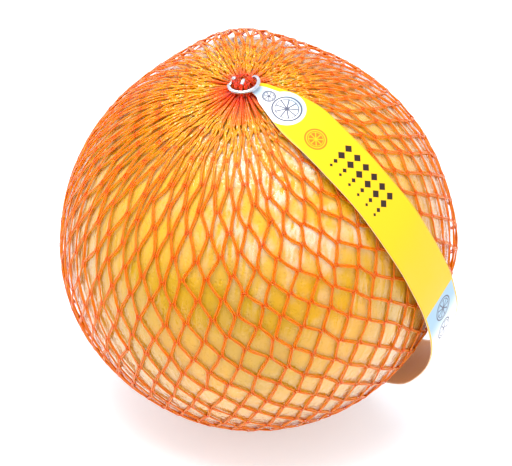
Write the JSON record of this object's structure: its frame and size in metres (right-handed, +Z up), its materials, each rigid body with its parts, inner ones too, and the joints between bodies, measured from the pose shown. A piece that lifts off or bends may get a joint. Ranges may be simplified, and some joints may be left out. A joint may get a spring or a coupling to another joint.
{
  "type": "netted pomelo",
  "caption": "Round pomelo in a clear film and an orange net bag gathered by wire clips, with a yellow plastic label band over its side.",
  "frame": {"origin": "the resting point: the flattened knot of the net on the table, straight below the middle of the fruit", "axes": "+Z up from the table; the side with the top clip and the label band faces -Y, and the band runs down towards +X"},
  "size_m": [0.1506, 0.15, 0.1523],
  "materials": {
    "peel": "satin",
    "clear_film": "gloss",
    "net": "satin",
    "label": "gloss",
    "clip_wire": "polished"
  },
  "bodies": {
    "root": {"pomelo_fruit": "peel", "film_wrap": "clear_film", "net_bag": "net", "label_band": "label", "top_clip": "clip_wire", "bottom_clip": "clip_wire"}
  },
  "joints": []
}
